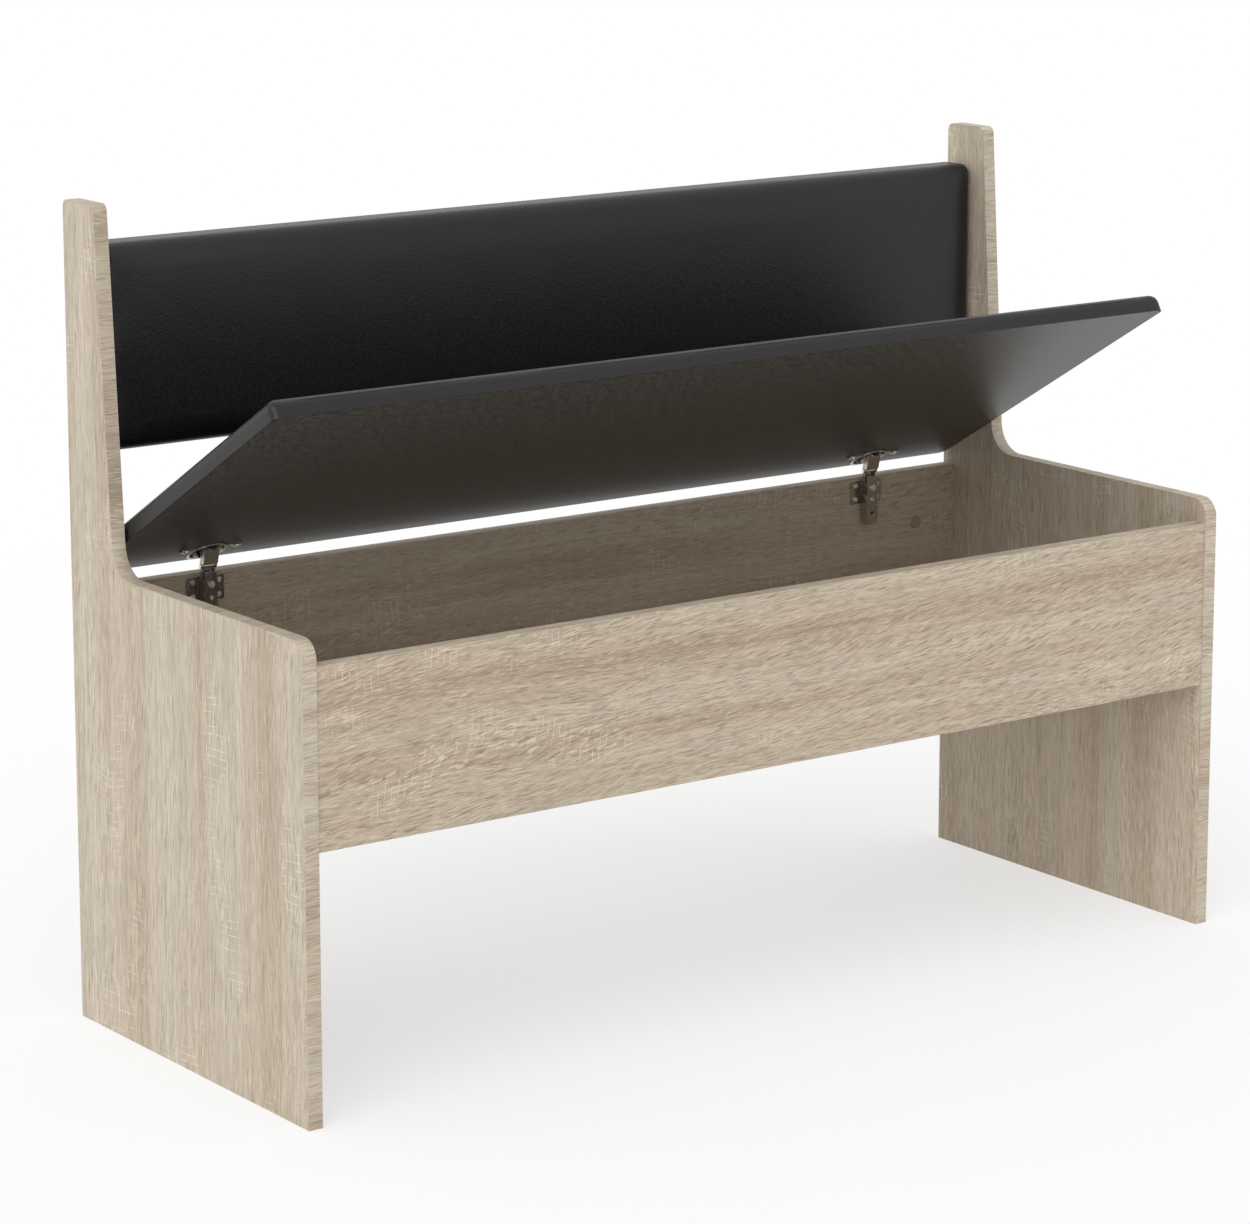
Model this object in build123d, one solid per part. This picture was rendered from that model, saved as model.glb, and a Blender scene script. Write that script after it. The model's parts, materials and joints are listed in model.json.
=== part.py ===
from build123d import *
import math
import os

# Storage bench with a lift-up padded seat, in millimetres.
# X runs along the bench, +Y points to the back, +Z up, origin on the floor under the middle.
# The seat stands part open, as it is stored.

# Overall bench
LENGTH = 1200.0
DEPTH = 452.0
HEIGHT = 872.0
BOARD = 16.0
BAND = 0.8

# Side panel outline
SEAT_EDGE = 491.0
POST_TOP_WIDTH = 62.8
POST_LEAN = 0.067
FRONT_ROUND = 21.0
ELBOW_ROUND = 35.0
POST_ROUND = 8.5

# Storage box
PANEL_BOTTOM = 279.0
PANEL_HEIGHT = 186.0
FRONT_SETBACK = 1.8
FLOOR_RISE = 8.0

# Joinery. Dowels, bolts and screw shanks are hidden, so they and their bores have flats
FIT = 0.1
FLAT_COUNT = 8
CAM_FLAT_COUNT = 12
HEAD_FLAT_COUNT = 16
DOWEL_RADIUS = 4.0
DOWEL_LENGTH = 30.0
DOWEL_IN_SIDE = 10.0
FLOOR_DOWEL_SPAN = 260.0
CAM_RADIUS = 7.5
CAM_DEPTH = 12.5
CAM_FROM_END = 56.0
CAM_FROM_EDGE = 64.0
CAM_BOLT_RADIUS = 3.5
CAM_BOLT_IN_SIDE = 11.0
CAP_RADIUS = 8.0
CAP_THICK = 1.2
CAP_TAPER = 0.9

# Upholstery
SKIN = 1.0
SEAT_SIDE_GAP = 2.0
SEAT_REAR_SETBACK = 14.0
SEAT_FRONT_SETBACK = 2.0
SEAT_LINING = 0.8
SEAT_BOARD = 16.0
SEAT_FOAM = 4.2
SEAT_CROWN = 2.0
SEAT_ROUND = 11.5
SEAT_CORNER = 11.5
REST_BOTTOM = 611.7
REST_HEIGHT = 216.0
REST_REAR_SETBACK = 11.0
REST_SIDE_GAP = 2.0
REST_LINING = 0.6
REST_BOARD = 16.0
REST_FOAM = 19.0
REST_CROWN = 2.0
REST_ROUND = 13.0
REST_CORNER = 13.0
REST_DOWEL_FROM_EDGE = 50.0

# Seat movement: stored tilt, gap of the closed seat over the box, lever turn per seat turn
SEAT_TILT = 30.2
SEAT_REST_GAP = 0.3
LEVER_RATIO = 2.73

# Hinge mounting plate and arm, on the inner face of the back panel
HINGE_INSET = 134.0
RUN_GAP = 0.25
PIN_RADIUS = 1.5
PIN_FIT = 0.05
PLATE_WIDTH = 46.0
PLATE_HEIGHT = 27.0
PLATE_DROP = 4.0
PLATE_SHEET = 2.0
PLATE_CORNER = 3.0
PLATE_SCREW_SPAN = 32.0
PLATE_SCREW_PITCH = 16.0
ARM_WIDTH = 15.5
ARM_PROUD = 13.8
ARM_SHEET = 1.2
ARM_TOP_RISE = 2.5
ARM_SHANK_DROP = 7.0
ARM_NECK_FRONT = 1.8
ARM_TAIL = 21.0
ARM_TAIL_HOLE = 2.0
ARM_EAR = 3.0
ARM_PIN_PROUD = 8.0
ARM_PIN_RISE = 8.5
PIN_HEAD_RADIUS = 2.2
PIN_HEAD = 0.8

# Hinge lever, from the arm pin to the cup pin
LEVER_SHEET = 1.0
LEVER_EYE = 3.2
LEVER_TIP = 2.5
LEVER_BACK = 4.6
LEVER_BACK_START = 3.5
LEVER_BACK_SHORT = 7.0

# Hinge cup, let into the seat board
CUP_RADIUS = 20.0
CUP_DEPTH = 13.5
CUP_SHEET = 0.7
CUP_TAB = 3.3
CUP_PIN_EDGE = 36.7
CUP_PIN_RISE = 4.5
CUP_FLANGE = 1.2
CUP_FLANGE_BORDER = 3.0
CUP_FLANGE_CLEAR = 0.5
CUP_WING_SPAN = 76.0
CUP_WING_WIDTH = 11.0
CUP_SCREW_SPAN = 62.0
CUP_SCREW_OFFSET = 9.5

# Screws
WOOD_SCREW_RADIUS = 1.75
WOOD_SCREW_LENGTH = 12.0
WOOD_SCREW_HEAD_RADIUS = 3.4
WOOD_SCREW_HEAD = 1.8
FIXING_SCREW_RADIUS = 2.4
FIXING_SCREW_HEAD_RADIUS = 4.4
FIXING_SCREW_HEAD = 2.6
ADJUST_SCREW_RADIUS = 2.0
ADJUST_SCREW_HEAD_RADIUS = 2.9
ADJUST_SCREW_HEAD = 1.4
HEAD_TAPER = 0.75

# Derived places
INNER_X = LENGTH / 2 - BOARD
FRONT_FACE = -DEPTH / 2 + FRONT_SETBACK
FRONT_INNER = FRONT_FACE + BOARD
BACK_FACE = DEPTH / 2
BACK_INNER = BACK_FACE - BOARD
PANEL_TOP = PANEL_BOTTOM + PANEL_HEIGHT
FLOOR_BOTTOM = PANEL_BOTTOM + FLOOR_RISE
SEAT_WIDTH = 2 * (INNER_X - SEAT_SIDE_GAP)
SEAT_DEPTH = DEPTH - SEAT_REAR_SETBACK - SEAT_FRONT_SETBACK
REST_WIDTH = 2 * (INNER_X - REST_SIDE_GAP)
REST_REAR = BACK_FACE - REST_REAR_SETBACK
HINGE_X = INNER_X - HINGE_INSET

# Hinge linkage, seen along X: arm pin, cup pin with the seat shut, and both at the stored tilt
SHUT_REAR = DEPTH / 2 - SEAT_REAR_SETBACK
SHUT_UNDER = PANEL_TOP + SEAT_REST_GAP
ARM_PIN_Y = BACK_INNER - ARM_PIN_PROUD
ARM_PIN_Z = PANEL_TOP + ARM_PIN_RISE
LEVER_RUN = SHUT_REAR - CUP_PIN_EDGE - ARM_PIN_Y
LEVER_DROP = SHUT_UNDER + CUP_PIN_RISE - ARM_PIN_Z
LEVER_LENGTH = math.hypot(LEVER_RUN, LEVER_DROP)
LEVER_TURN = math.degrees(math.atan2(LEVER_DROP, LEVER_RUN)) - LEVER_RATIO * SEAT_TILT
CUP_PIN_Y = ARM_PIN_Y + LEVER_LENGTH * math.cos(math.radians(LEVER_TURN))
CUP_PIN_Z = ARM_PIN_Z + LEVER_LENGTH * math.sin(math.radians(LEVER_TURN))

LEVER_PLACE = Pos(0, ARM_PIN_Y, ARM_PIN_Z) * Rot(LEVER_TURN, 0, 0)
SEAT_TURN = Rot(-SEAT_TILT, 0, 0)
SEAT_PLACE = Pos(0, CUP_PIN_Y, CUP_PIN_Z) * SEAT_TURN * Pos(0, CUP_PIN_EDGE, -CUP_PIN_RISE)

nodes = {}


def slab(x, y, z):
    """Box between pairs of low and high limits."""
    size = Box(x[1] - x[0], y[1] - y[0], z[1] - z[0])
    return Pos((x[0] + x[1]) / 2, (y[0] + y[1]) / 2, (z[0] + z[1]) / 2) * size


def bar(radius, run, sides):
    """Bar along +Z, round, or with flats where it is hidden."""
    section = RegularPolygon(radius, sides) if sides else Circle(radius)
    return extrude(section, run[1] - run[0])


def rod_x(x, y, z, radius, sides=0):
    """Bar along X between two limits."""
    return Pos(x[0], y, z) * Rot(0, 90, 0) * bar(radius, x, sides)


def rod_y(x, y, z, radius, sides=0):
    """Bar along Y between two limits."""
    return Pos(x, y[0], z) * Rot(-90, 0, 0) * bar(radius, y, sides)


def rod_z(x, y, z, radius, sides=0):
    """Bar along Z between two limits."""
    return Pos(x, y, z[0]) * bar(radius, z, sides)


def group(solids):
    """Separate solids kept together as one node."""
    return Compound(list(solids))


def screw(head_radius, head, radius, length):
    """Pan head screw along +Z: head below its seat at 0, shank above it."""
    crown = Pos(0, 0, -head) * RegularPolygon(head_radius * HEAD_TAPER, HEAD_FLAT_COUNT)
    pan = loft([crown.face(), RegularPolygon(head_radius, HEAD_FLAT_COUNT).face()])
    return pan + rod_z(0, 0, (0, length), radius, FLAT_COUNT)


# Wooden side panels with their edge banding


def side_outline(inset):
    """Side panel seen along X, shrunk by the banding on every edge but the foot."""
    front = -DEPTH / 2 + inset
    rear = DEPTH / 2 - inset
    seat = SEAT_EDGE - inset
    top = HEIGHT - inset
    lean_shift = inset * math.hypot(1, POST_LEAN)

    def post_front(z):
        return DEPTH / 2 - POST_TOP_WIDTH - POST_LEAN * (HEIGHT - z) + lean_shift

    elbow = (post_front(seat), seat)
    corners = [(front, 0), (front, seat), elbow, (post_front(top), top), (rear, top), (rear, 0)]
    rounds = [0, FRONT_ROUND - inset, ELBOW_ROUND + inset, POST_ROUND - inset, POST_ROUND - inset, 0]
    return make_face(FilletPolyline(*corners, radius=rounds, close=True))


def side_plate(inset, side):
    start = INNER_X if side > 0 else -LENGTH / 2
    return extrude(Plane.YZ.offset(start) * side_outline(inset), BOARD)


CAM_HEIGHT = PANEL_TOP - CAM_FROM_EDGE
DOWEL_HEIGHT = PANEL_BOTTOM + CAM_FROM_EDGE
FLOOR_MIDDLE = FLOOR_BOTTOM + BOARD / 2
FRONT_MIDDLE = FRONT_FACE + BOARD / 2
BACK_MIDDLE = BACK_INNER + BOARD / 2
REST_BOARD_MIDDLE = REST_REAR - REST_LINING - REST_BOARD / 2
REST_DOWEL_HEIGHTS = [REST_BOTTOM + REST_DOWEL_FROM_EDGE, REST_BOTTOM + REST_HEIGHT - REST_DOWEL_FROM_EDGE]


def outward(side, inner, outer):
    """Limits along X of something that crosses the inner face of one side panel."""
    low = INNER_X - inner
    high = INNER_X + outer
    return (low, high) if side > 0 else (-high, -low)


def box_dowels(extra):
    """Wooden dowels between the side panels and the box, with bores when extra is the fit."""
    places = [(FRONT_MIDDLE, DOWEL_HEIGHT), (BACK_MIDDLE, DOWEL_HEIGHT)]
    places += [(step * FLOOR_DOWEL_SPAN / 2, FLOOR_MIDDLE) for step in (-1, 1)]
    reach = DOWEL_LENGTH - DOWEL_IN_SIDE + extra
    return [rod_x(outward(side, reach, DOWEL_IN_SIDE + extra), y, z, DOWEL_RADIUS + extra, FLAT_COUNT)
            for side in (-1, 1) for y, z in places]


def rest_dowels(extra):
    """Dowels that carry the backrest between the posts."""
    reach = DOWEL_LENGTH - DOWEL_IN_SIDE + REST_SIDE_GAP + extra
    runs = [outward(side, reach, DOWEL_IN_SIDE + extra) for side in (-1, 1)]
    return [rod_x(run, REST_BOARD_MIDDLE, z, DOWEL_RADIUS + extra, FLAT_COUNT)
            for run in runs for z in REST_DOWEL_HEIGHTS]


def cam_bolts(extra):
    """Connecting bolts from each cam lock into the side panel."""
    runs = [outward(side, CAM_FROM_END, CAM_BOLT_IN_SIDE + extra) for side in (-1, 1)]
    return [rod_x(run, y, CAM_HEIGHT, CAM_BOLT_RADIUS + extra, FLAT_COUNT)
            for run in runs for y in (FRONT_MIDDLE, BACK_MIDDLE)]


def cam_seats(extra):
    """Round cam housings, let into the inner faces of the front and back panels."""
    runs = [(FRONT_INNER - CAM_DEPTH - extra, FRONT_INNER), (BACK_INNER, BACK_INNER + CAM_DEPTH + extra)]
    return [rod_y(side * (INNER_X - CAM_FROM_END), run, CAM_HEIGHT, CAM_RADIUS + extra, CAM_FLAT_COUNT)
            for side in (-1, 1) for run in runs]


def cam_cap(facing):
    """Thin cover cap, its rim on the panel at 0, facing along Y."""
    disc = Pos(0, 0, CAP_THICK / 2) * Cone(CAP_RADIUS, CAP_RADIUS * CAP_TAPER, CAP_THICK)
    return Rot(-90 * facing, 0, 0) * disc


for name, side in (("left", -1), ("right", 1)):
    board = side_plate(BAND, side)
    nodes[f"{name}_side_edge_band"] = side_plate(0, side) - board
    nodes[f"{name}_side_panel"] = board - box_dowels(FIT) - cam_bolts(FIT) - rest_dowels(FIT)

# Storage box between the sides


def box_panel(y):
    """Long panel with banding on its top and bottom edges: the board and its two bands."""
    ends = (-INNER_X, INNER_X)
    board = slab(ends, y, (PANEL_BOTTOM + BAND, PANEL_TOP - BAND))
    upper = slab(ends, y, (PANEL_TOP - BAND, PANEL_TOP))
    lower = slab(ends, y, (PANEL_BOTTOM, PANEL_BOTTOM + BAND))
    return board - box_dowels(FIT) - cam_bolts(FIT) - cam_seats(FIT), group([upper, lower])


nodes["front_panel"], nodes["front_panel_edge_bands"] = box_panel((FRONT_FACE, FRONT_INNER))
back_board, nodes["back_panel_edge_bands"] = box_panel((BACK_INNER, BACK_FACE))
floor_board = slab((-INNER_X, INNER_X), (FRONT_INNER, BACK_INNER), (FLOOR_BOTTOM, FLOOR_BOTTOM + BOARD))
nodes["storage_floor"] = floor_board - box_dowels(FIT)
nodes["panel_dowels"] = group(box_dowels(0))
nodes["cam_bolts"] = group(cam_bolts(0))
nodes["cam_locks"] = group(seat - cam_bolts(FIT) for seat in cam_seats(0))
cap_sides = [(FRONT_INNER, 1), (BACK_INNER, -1)]
nodes["cam_caps"] = group(Pos(side * (INNER_X - CAM_FROM_END), y, CAM_HEIGHT) * cam_cap(facing)
                          for side in (-1, 1) for y, facing in cap_sides)

# Padded backrest and seat: flat backed pads, crowned, rounded over at the front edges


def crowned_section(half, top, crown, edge):
    """Cross section of a pad: flat back on 0, rounded shoulders, crowned top."""
    sides = Polyline((-half, top - edge), (-half, 0), (half, 0), (half, top - edge))
    right = CenterArc((half - edge, top - edge), edge, 0, 90)
    crest = ThreePointArc((half - edge, top), (0, top + crown), (edge - half, top))
    left = CenterArc((edge - half, top - edge), edge, 90, 90)
    return make_face(sides + right + crest + left)


def pad_form(size, thick, crown, edge, corner, inset):
    """Pad lying on 0, length along X; inset shrinks it from every side but the back."""
    half_x = size[0] / 2 - inset
    half_y = size[1] / 2 - inset
    top = thick - inset
    plan = extrude(RectangleRounded(2 * half_x, 2 * half_y, corner - inset), top + 2 * crown)
    along = extrude(Plane.XZ * crowned_section(half_x, top, crown, edge - inset), half_y, both=True)
    across = extrude(Plane.YZ * crowned_section(half_y, top, crown, edge - inset), half_x, both=True)
    return plan & along & across


def pad_layers(size, lining, board, foam, crown, edge, corner):
    """Lining, board, foam and wrapped cover of one pad, stacked up from 0."""
    thick = lining + board + foam + SKIN
    outer = pad_form(size, thick, crown, edge, corner, 0)
    inner = pad_form(size, thick, crown, edge, corner, SKIN)
    levels = [0, lining, lining + board, thick + crown]
    across = ((-size[0] / 2, size[0] / 2), (-size[1] / 2, size[1] / 2))
    layers = [inner & slab(*across, (low, high)) for low, high in zip(levels, levels[1:])]
    return layers + [outer - inner]


REST_PLACE = Pos(0, REST_REAR, REST_BOTTOM + REST_HEIGHT / 2) * Rot(90, 0, 0)
rest_layers = pad_layers((REST_WIDTH, REST_HEIGHT), REST_LINING, REST_BOARD, REST_FOAM,
                         REST_CROWN, REST_ROUND, REST_CORNER)
rest_lining, rest_board, rest_foam, rest_cover = [REST_PLACE * layer for layer in rest_layers]
nodes["backrest_lining"] = rest_lining
nodes["backrest_board"] = rest_board - rest_dowels(FIT)
nodes["backrest_foam"] = rest_foam
nodes["backrest_cover"] = rest_cover - rest_dowels(FIT)
nodes["backrest_dowels"] = group(rest_dowels(0))

# Concealed cup hinges: plate and arm on the back panel, lever between, cup in the seat board

PLATE_TOP = PANEL_TOP - PLATE_DROP
PLATE_FOOT = PLATE_TOP - PLATE_HEIGHT
PLATE_MIDDLE = (PLATE_TOP + PLATE_FOOT) / 2
PLATE_FRONT = BACK_INNER - PLATE_SHEET
ARM_FRONT = BACK_INNER - ARM_PROUD
ARM_WEB = ARM_FRONT + ARM_SHEET
ARM_REAR = PLATE_FRONT - RUN_GAP
ARM_FOOT = PLATE_FOOT - ARM_TAIL
ARM_HALF = ARM_WIDTH / 2
RAIL_HALF = ARM_HALF - ARM_SHEET - RUN_GAP
FIXING_HEIGHT = PLATE_MIDDLE + PLATE_SCREW_PITCH / 2 - WOOD_SCREW_RADIUS
ADJUST_HEIGHT = PLATE_MIDDLE - PLATE_SCREW_PITCH / 2
LEVER_INNER = ARM_HALF + RUN_GAP
LEVER_OUTER = LEVER_INNER + LEVER_SHEET
CUP_CENTRE = -(CUP_TAB + CUP_RADIUS)
CUP_INNER = CUP_RADIUS - CUP_SHEET
CUP_SCREW_ROW = CUP_CENTRE - CUP_SCREW_OFFSET

PLATE_SCREW_PLACES = [(x * PLATE_SCREW_SPAN / 2, PLATE_MIDDLE + z * PLATE_SCREW_PITCH / 2)
                      for x in (-1, 1) for z in (-1, 1)]


def mounting_plate():
    """Winged plate on the back panel with the rail that carries the arm."""
    wings = RectangleRounded(PLATE_WIDTH, PLATE_HEIGHT, PLATE_CORNER)
    plate = Pos(0, BACK_INNER, PLATE_MIDDLE) * Rot(90, 0, 0) * extrude(wings, PLATE_SHEET)
    rail = slab((-RAIL_HALF, RAIL_HALF), (ARM_WEB, PLATE_FRONT), (PLATE_FOOT, PLATE_TOP))
    holes = [rod_y(x, (PLATE_FRONT, BACK_INNER), z, WOOD_SCREW_RADIUS + FIT, FLAT_COUNT)
             for x, z in PLATE_SCREW_PLACES]
    fixing = rod_y(0, (ARM_WEB, BACK_INNER), FIXING_HEIGHT, FIXING_SCREW_RADIUS + FIT, FLAT_COUNT)
    adjust = rod_y(0, (ARM_WEB, BACK_INNER), ADJUST_HEIGHT, ADJUST_SCREW_RADIUS + FIT, FLAT_COUNT)
    return plate + rail - holes - fixing - adjust


def arm():
    """Channel-shaped arm whose neck narrows to two ears that hold the lever pin."""
    shank_top = PANEL_TOP - ARM_SHANK_DROP
    neck_front = ARM_PIN_Y - ARM_NECK_FRONT
    neck_rear = ARM_PIN_Y + ARM_EAR
    shank = Pos((ARM_FRONT + ARM_REAR) / 2, (ARM_FOOT + shank_top) / 2) * Rectangle(
        ARM_REAR - ARM_FRONT, shank_top - ARM_FOOT)
    neck = Pos((neck_front + neck_rear) / 2, (ARM_FOOT + ARM_PIN_Z) / 2) * Rectangle(
        neck_rear - neck_front, ARM_PIN_Z - ARM_FOOT)
    cheek = shank + neck + Pos(ARM_PIN_Y, ARM_PIN_Z) * Circle(ARM_EAR)
    cheek -= Pos(ARM_PIN_Y, ARM_PIN_Z) * Circle(PIN_RADIUS + PIN_FIT)
    wide = (-ARM_HALF, ARM_HALF)
    sides = [extrude(Plane.YZ.offset(start) * cheek, ARM_SHEET) for start in (wide[0], wide[1] - ARM_SHEET)]
    web = slab(wide, (ARM_FRONT, ARM_WEB), (ARM_FOOT, PANEL_TOP + ARM_TOP_RISE))
    back = slab(wide, (neck_rear - ARM_SHEET, neck_rear), (PLATE_TOP + RUN_GAP, ARM_PIN_Z))
    body = web + back + sides
    body -= rod_y(0, (ARM_FRONT, ARM_WEB), FIXING_HEIGHT, FIXING_SCREW_RADIUS + FIT, FLAT_COUNT)
    body -= rod_y(0, (ARM_FRONT, ARM_WEB), ADJUST_HEIGHT, ADJUST_SCREW_RADIUS + FIT, FLAT_COUNT)
    return body - rod_y(0, (ARM_FRONT, ARM_WEB), (ARM_FOOT + PLATE_FOOT) / 2, ARM_TAIL_HOLE)


def arm_pin():
    """Riveted pin through the ears of the arm and the eyes of the lever."""
    reach = LEVER_OUTER + RUN_GAP
    shaft = rod_x((-reach, reach), ARM_PIN_Y, ARM_PIN_Z, PIN_RADIUS)
    heads = [rod_x(run, ARM_PIN_Y, ARM_PIN_Z, PIN_HEAD_RADIUS)
             for run in ((-reach - PIN_HEAD, -reach), (reach, reach + PIN_HEAD))]
    return shaft + heads


def lever():
    """Channel lever from the arm pin at 0 to the cup pin along +Y, its back on the +Z side."""
    back_run = (LEVER_BACK_START, LEVER_LENGTH - LEVER_BACK_SHORT)
    eye = Circle(LEVER_EYE)
    tip = Pos(LEVER_LENGTH, 0) * Circle(LEVER_TIP)
    wing = Pos(sum(back_run) / 2, LEVER_BACK / 2) * Rectangle(back_run[1] - back_run[0], LEVER_BACK)
    bores = Sketch() + [Pos(y, 0) * Circle(PIN_RADIUS + PIN_FIT) for y in (0, LEVER_LENGTH)]
    cheek = make_hull(eye.edges() + tip.edges()) + wing - bores
    cheeks = [extrude(Plane.YZ.offset(start) * cheek, LEVER_SHEET) for start in (-LEVER_OUTER, LEVER_INNER)]
    back = slab((-LEVER_OUTER, LEVER_OUTER), back_run, (LEVER_BACK - LEVER_SHEET, LEVER_BACK))
    return back + cheeks


def cup():
    """Pressed cup with a winged flange, mouth on 0, measured from the seat's rear edge."""
    shell = rod_z(0, CUP_CENTRE, (0, CUP_DEPTH), CUP_RADIUS)
    shell -= rod_z(0, CUP_CENTRE, (0, CUP_DEPTH - CUP_SHEET), CUP_INNER)
    ring = Pos(0, CUP_CENTRE) * Circle(CUP_RADIUS + CUP_FLANGE_BORDER)
    wings = Pos(0, CUP_SCREW_ROW) * RectangleRounded(CUP_WING_SPAN, CUP_WING_WIDTH, CUP_WING_WIDTH / 2 - FIT)
    flange = Pos(0, 0, -CUP_FLANGE) * extrude(ring + wings, CUP_FLANGE)
    # The flange stops short of the back panel, so the seat can lie down on the panel
    flange_rear = BACK_INNER - CUP_FLANGE_CLEAR - SHUT_REAR
    reach = CUP_WING_SPAN
    flange &= slab((-reach, reach), (-2 * reach, flange_rear), (-CUP_FLANGE, 0))
    flange -= rod_z(0, CUP_CENTRE, (-CUP_FLANGE, 0), CUP_INNER)
    for x in (-CUP_SCREW_SPAN / 2, CUP_SCREW_SPAN / 2):
        flange -= rod_z(x, CUP_SCREW_ROW, (-CUP_FLANGE, 0), WOOD_SCREW_RADIUS + FIT, FLAT_COUNT)
    return shell + flange - cup_pin(PIN_FIT)


def cup_pin(extra):
    """Pin across the cup, held in its wall."""
    offset = abs(CUP_CENTRE + CUP_PIN_EDGE) + PIN_RADIUS + PIN_FIT
    across = math.sqrt(CUP_RADIUS**2 - offset**2)
    return rod_x((-across, across), -CUP_PIN_EDGE, CUP_PIN_RISE, PIN_RADIUS + extra)


def cup_screw_places(drop):
    return [Pos(side * HINGE_X + x * CUP_SCREW_SPAN / 2, CUP_SCREW_ROW, drop)
            for side in (-1, 1) for x in (-1, 1)]


wood_screw = screw(WOOD_SCREW_HEAD_RADIUS, WOOD_SCREW_HEAD, WOOD_SCREW_RADIUS, WOOD_SCREW_LENGTH)
fixing_length = BACK_INNER - ARM_FRONT - PLATE_SHEET
fixing_screw = screw(FIXING_SCREW_HEAD_RADIUS, FIXING_SCREW_HEAD, FIXING_SCREW_RADIUS, fixing_length)
adjust_screw = screw(ADJUST_SCREW_HEAD_RADIUS, ADJUST_SCREW_HEAD, ADJUST_SCREW_RADIUS, fixing_length)
facing_back = Rot(-90, 0, 0)
hinge_sides = (("left", -HINGE_X), ("right", HINGE_X))

for name, x in hinge_sides:
    nodes[f"{name}_hinge_plate"] = Pos(x, 0, 0) * mounting_plate()
    nodes[f"{name}_hinge_arm"] = Pos(x, 0, 0) * arm()
    nodes[f"{name}_hinge_lever"] = LEVER_PLACE * Pos(x, 0, 0) * lever()
    nodes[f"{name}_hinge_cup"] = SEAT_PLACE * Pos(x, 0, 0) * cup()

nodes["hinge_arm_pins"] = group(Pos(x, 0, 0) * arm_pin() for _, x in hinge_sides)
nodes["hinge_plate_screws"] = group(Pos(x + dx, PLATE_FRONT, z) * facing_back * wood_screw
                                    for _, x in hinge_sides for dx, z in PLATE_SCREW_PLACES)
nodes["hinge_fixing_screws"] = group(Pos(x, ARM_FRONT, FIXING_HEIGHT) * facing_back * fixing_screw
                                     for _, x in hinge_sides)
nodes["hinge_adjusting_screws"] = group(Pos(x, ARM_FRONT, ADJUST_HEIGHT) * facing_back * adjust_screw
                                        for _, x in hinge_sides)
pilot_depth = (BACK_INNER, PLATE_FRONT + WOOD_SCREW_LENGTH + FIT)
nodes["back_panel"] = back_board - [rod_y(x + dx, pilot_depth, z, WOOD_SCREW_RADIUS + FIT, FLAT_COUNT)
                                    for _, x in hinge_sides for dx, z in PLATE_SCREW_PLACES]

# Seat: the pad lies on its own flat underside, rear edge on 0, then takes its stored tilt

seat_layers = pad_layers((SEAT_WIDTH, SEAT_DEPTH), SEAT_LINING, SEAT_BOARD, SEAT_FOAM,
                         SEAT_CROWN, SEAT_ROUND, SEAT_CORNER)
seat_lining, seat_board, seat_foam, seat_cover = [Pos(0, -SEAT_DEPTH / 2, 0) * layer for layer in seat_layers]
cup_bores = [rod_z(x, CUP_CENTRE, (0, CUP_DEPTH + FIT), CUP_RADIUS + FIT) for _, x in hinge_sides]
pilot = rod_z(0, 0, (CUP_FLANGE, WOOD_SCREW_LENGTH + FIT), WOOD_SCREW_RADIUS + FIT, FLAT_COUNT)
pilot_bores = [place * pilot for place in cup_screw_places(-CUP_FLANGE)]

nodes["seat_lining"] = SEAT_PLACE * (seat_lining - cup_bores - pilot_bores)
nodes["seat_board"] = SEAT_PLACE * (seat_board - cup_bores - pilot_bores)
nodes["seat_foam"] = SEAT_PLACE * seat_foam
nodes["seat_cover"] = SEAT_PLACE * seat_cover
nodes["hinge_cup_screws"] = group(SEAT_PLACE * place * wood_screw for place in cup_screw_places(-CUP_FLANGE))
nodes["hinge_cup_pins"] = group(SEAT_PLACE * Pos(x, 0, 0) * cup_pin(0) for _, x in hinge_sides)

# The open seat reaches behind the sides, and the origin lies under the middle of the whole
REAR_REACH = nodes["seat_cover"].bounding_box().max.Y - BACK_FACE
CENTRING = Pos(0, -REAR_REACH / 2, 0)

os.makedirs("parts", exist_ok=True)
for name, shape in nodes.items():
    export_step(CENTRING * shape, f"parts/{name}.step")

print(f"lever {LEVER_LENGTH:.2f} mm at {LEVER_TURN:.2f} degrees")
print(f"arm pin y {ARM_PIN_Y - REAR_REACH / 2:.4f} z {ARM_PIN_Z:.4f}")
print(f"cup pin y {CUP_PIN_Y - REAR_REACH / 2:.4f} z {CUP_PIN_Z:.4f}, rear reach {REAR_REACH:.4f}")
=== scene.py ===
"""Dresses the storage bench: oak decor boards, black upholstery, nickel hinges, plain studio."""

import json
import math

import bmesh
import bpy
from mathutils import Matrix, Vector, noise


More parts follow.
